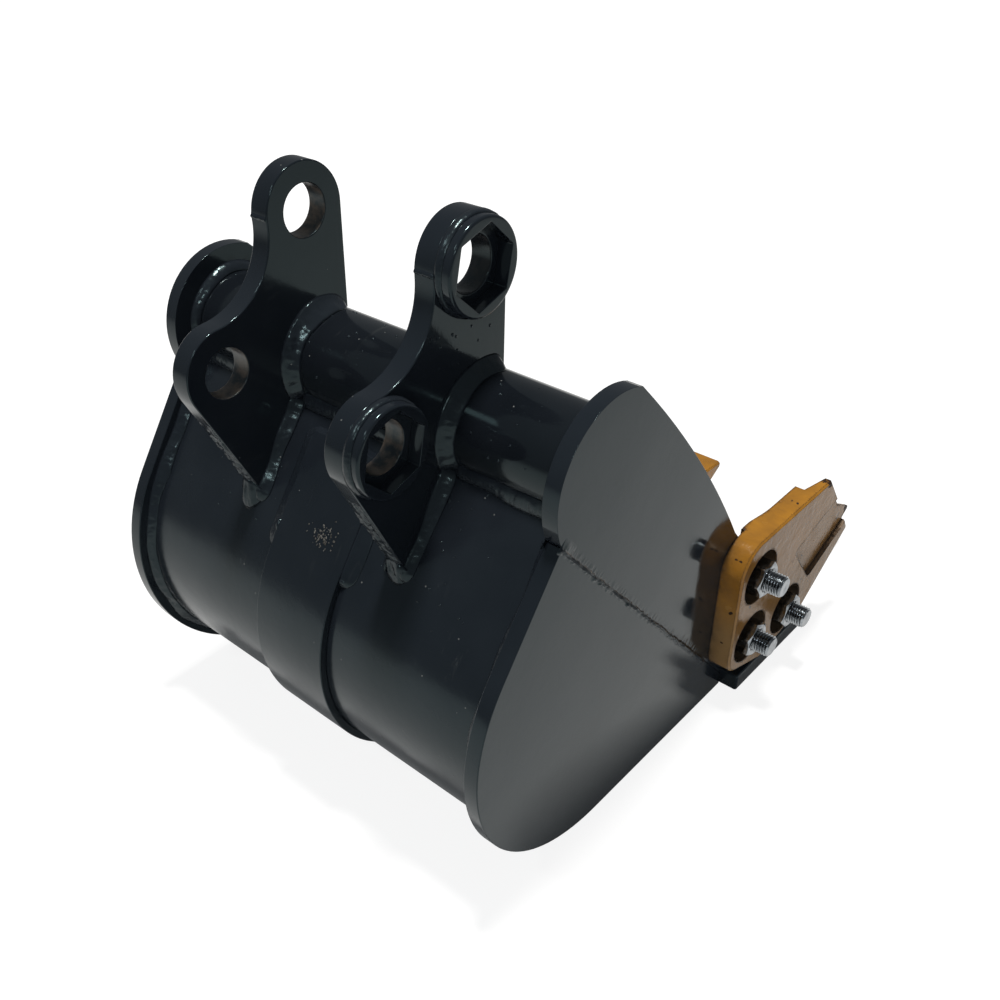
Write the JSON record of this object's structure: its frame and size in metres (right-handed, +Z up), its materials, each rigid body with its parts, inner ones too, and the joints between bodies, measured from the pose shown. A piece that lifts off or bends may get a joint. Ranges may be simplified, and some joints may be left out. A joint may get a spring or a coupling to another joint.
{
  "type": "excavator bucket",
  "caption": "Small excavator digging bucket with pin ears, torque tube, curved shell, straight cutting edge, weld-on teeth and bolted side cutters.",
  "frame": {"origin": "on the dipper pin axis, half way between the two ears", "axes": "+X along the pins towards the right side plate, +Y forward towards the teeth, +Z up with the floor plate level"},
  "size_m": [0.392, 0.4895, 0.3835],
  "materials": {
    "black_enamel": "semi-gloss black enamel over plate and tube, lightly scuffed",
    "black_enamel_cast": "semi-gloss black enamel over a cast surface",
    "painted_weld": "black enamel over rippled weld beads",
    "mustard_enamel": "mustard enamel over a cast surface, edges worn dark",
    "tooth_enamel": "mustard enamel over a forged surface",
    "zinc_plate": "bright zinc plate",
    "bare_pin_steel": "plain ground steel"
  },
  "bodies": {
    "root": {"torque_tube": "black_enamel", "wrapper_shell": "black_enamel", "wear_strap": "black_enamel", "cutting_edge": "black_enamel", "right_upper_side_plate": "black_enamel", "left_upper_side_plate": "black_enamel", "right_lower_side_plate": "black_enamel", "left_lower_side_plate": "black_enamel", "right_ear": "black_enamel", "left_ear": "black_enamel", "dipper_pin_hex_boss": "black_enamel", "link_pin_hex_boss": "black_enamel", "left_tooth_adapter": "black_enamel_cast", "centre_tooth_adapter": "black_enamel_cast", "right_tooth_adapter": "black_enamel_cast", "ear_welds": "painted_weld", "boss_welds": "painted_weld", "tube_end_welds": "painted_weld", "tube_seam_weld": "painted_weld", "strap_welds": "painted_weld", "side_seam_welds": "painted_weld", "inner_side_welds": "painted_weld", "plate_seam_welds": "painted_weld", "lip_welds": "painted_weld", "adapter_welds": "painted_weld", "right_side_cutter": "mustard_enamel", "left_side_cutter": "mustard_enamel", "left_tooth_point": "tooth_enamel", "centre_tooth_point": "tooth_enamel", "right_tooth_point": "tooth_enamel", "right_cutter_bolts": "zinc_plate", "left_cutter_bolts": "zinc_plate", "right_cutter_nuts": "zinc_plate", "left_cutter_nuts": "zinc_plate", "right_cutter_washers": "zinc_plate", "left_cutter_washers": "zinc_plate", "tooth_pins": "bare_pin_steel"}
  },
  "joints": []
}
